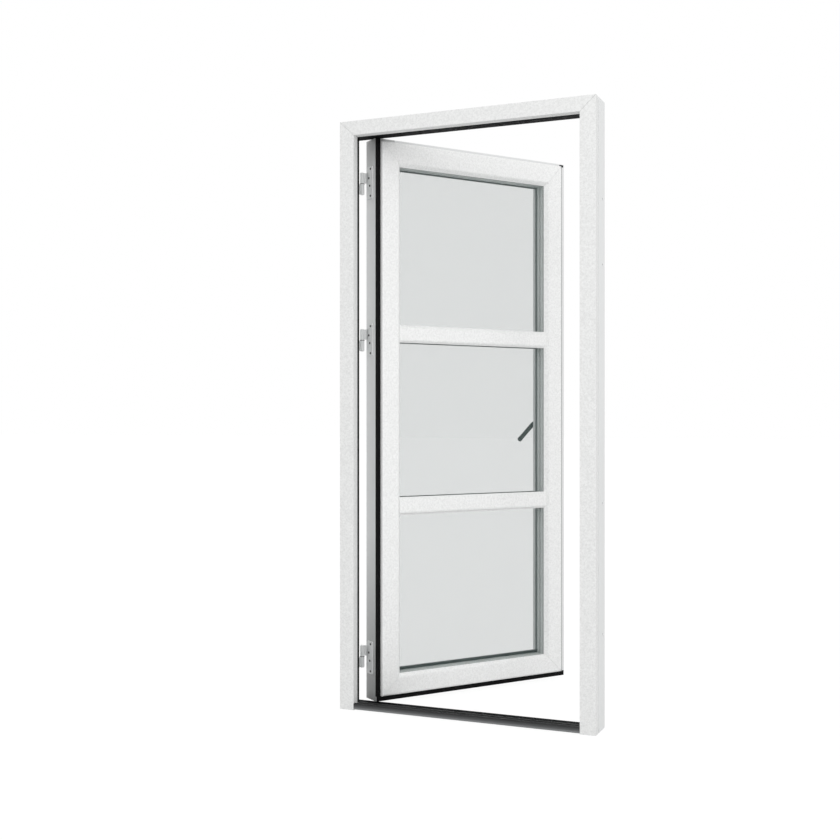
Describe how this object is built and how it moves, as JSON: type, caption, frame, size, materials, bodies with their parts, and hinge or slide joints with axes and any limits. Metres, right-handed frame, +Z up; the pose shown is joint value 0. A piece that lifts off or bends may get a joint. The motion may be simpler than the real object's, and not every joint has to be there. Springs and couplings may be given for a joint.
{
  "type": "casement window",
  "caption": "Full-height inward-opening side-hung glazed casement in a low-threshold frame, with mitred cladding, glazing bars, lift hinges and a lever handle.",
  "frame": {"origin": "middle of the underside of the frame, half-way through its depth", "axes": "+X to the right seen from outside, +Y into the building, +Z up; the sash stands open by 54.2 degrees at rest"},
  "size_m": [0.94, 0.8418, 2.11],
  "materials": {
    "white_cladding": "fine-textured white coating",
    "white_core": "smooth matte white profile",
    "black_rubber": "matte black gasket",
    "black_plastic": "matte black composite",
    "spacer_grey": "light grey warm-edge spacer",
    "window_glass": "clear float glass with a light green-grey tint",
    "grey_aluminium": "satin grey anodised",
    "white_hinge": "white painted steel",
    "dark_handle": "dark grey satin handle",
    "steel_hardware": "zinc-plated steel"
  },
  "bodies": {
    "frame": {"frame_cladding_left": "white_cladding", "frame_cladding_right": "white_cladding", "frame_cladding_head": "white_cladding", "frame_core_left": "white_core", "frame_core_right": "white_core", "frame_core_head": "white_core", "frame_gasket_left": "black_rubber", "frame_gasket_right": "black_rubber", "frame_gasket_head": "black_rubber", "head_lining": "black_plastic", "threshold_nose": "grey_aluminium", "threshold_deck": "black_plastic", "threshold_rib": "grey_aluminium", "threshold_seal": "black_rubber", "hinge_frame_leaf_lower": "white_hinge", "hinge_frame_leaf_middle": "white_hinge", "hinge_frame_leaf_upper": "white_hinge", "hinge_pins": "steel_hardware", "hinge_frame_screws": "steel_hardware", "strike_plates": "steel_hardware", "strike_screws": "steel_hardware"},
    "sash": {"sash_stile_hinge": "white_core", "sash_stile_lock": "white_core", "sash_rail_top": "white_core", "sash_rail_bottom": "white_core", "sash_cladding_hinge": "white_cladding", "sash_cladding_lock": "white_cladding", "sash_cladding_top": "white_cladding", "sash_cladding_bottom": "white_cladding", "sash_gasket_hinge": "black_rubber", "sash_gasket_lock": "black_rubber", "sash_gasket_top": "black_rubber", "sash_drip_seal": "black_rubber", "glass_outer": "window_glass", "glass_middle": "window_glass", "glass_inner": "window_glass", "glass_spacers": "spacer_grey", "setting_blocks": "black_plastic", "glazing_seal": "black_rubber", "glazing_bead_hinge": "white_core", "glazing_bead_lock": "white_core", "glazing_bead_top": "white_core", "glazing_bead_bottom": "white_core", "outer_bar_lower": "white_cladding", "outer_bar_upper": "white_cladding", "inner_bar_lower": "white_core", "inner_bar_upper": "white_core", "cavity_bars": "spacer_grey", "hinge_sash_leaf_lower": "white_hinge", "hinge_sash_leaf_middle": "white_hinge", "hinge_sash_leaf_upper": "white_hinge", "hinge_sash_screws": "steel_hardware", "lock_case": "steel_hardware", "lock_faceplate": "steel_hardware", "handle_rose": "dark_handle", "rose_screws": "steel_hardware"},
    "handle": {"handle_lever": "dark_handle", "handle_spindle": "steel_hardware"},
    "rod": {"drive_rod": "steel_hardware"},
    "latch": {"latch_bolt": "steel_hardware"}
  },
  "joints": [
    {"name": "sash_swing", "type": "hinge", "parent": "frame", "child": "sash", "pos_m": [-0.443, 0.071, 1.055], "axis": [0, 0, 1], "range_deg": [-54.2, 45.8]},
    {"name": "handle_turn", "type": "hinge", "parent": "sash", "child": "handle", "pos_m": [0.04131, 0.73396, 1.027], "axis": [-0.8111, 0.585, 0], "range_deg": [-47, 43]},
    {"name": "rod_slide", "type": "slide", "parent": "sash", "child": "rod", "axis": [0, 0, 1], "range_m": [-0.0189, 0.0173]},
    {"name": "latch_slide", "type": "slide", "parent": "sash", "child": "latch", "axis": [0.585, 0.8111, 0], "range_m": [-0.007, 0], "stiffness_N_per_m": 300, "springref_m": 0.012}
  ],
  "couplings": [
    {"joint": "rod_slide", "follows": "handle_turn", "m_per_rad": 0.0229}
  ]
}
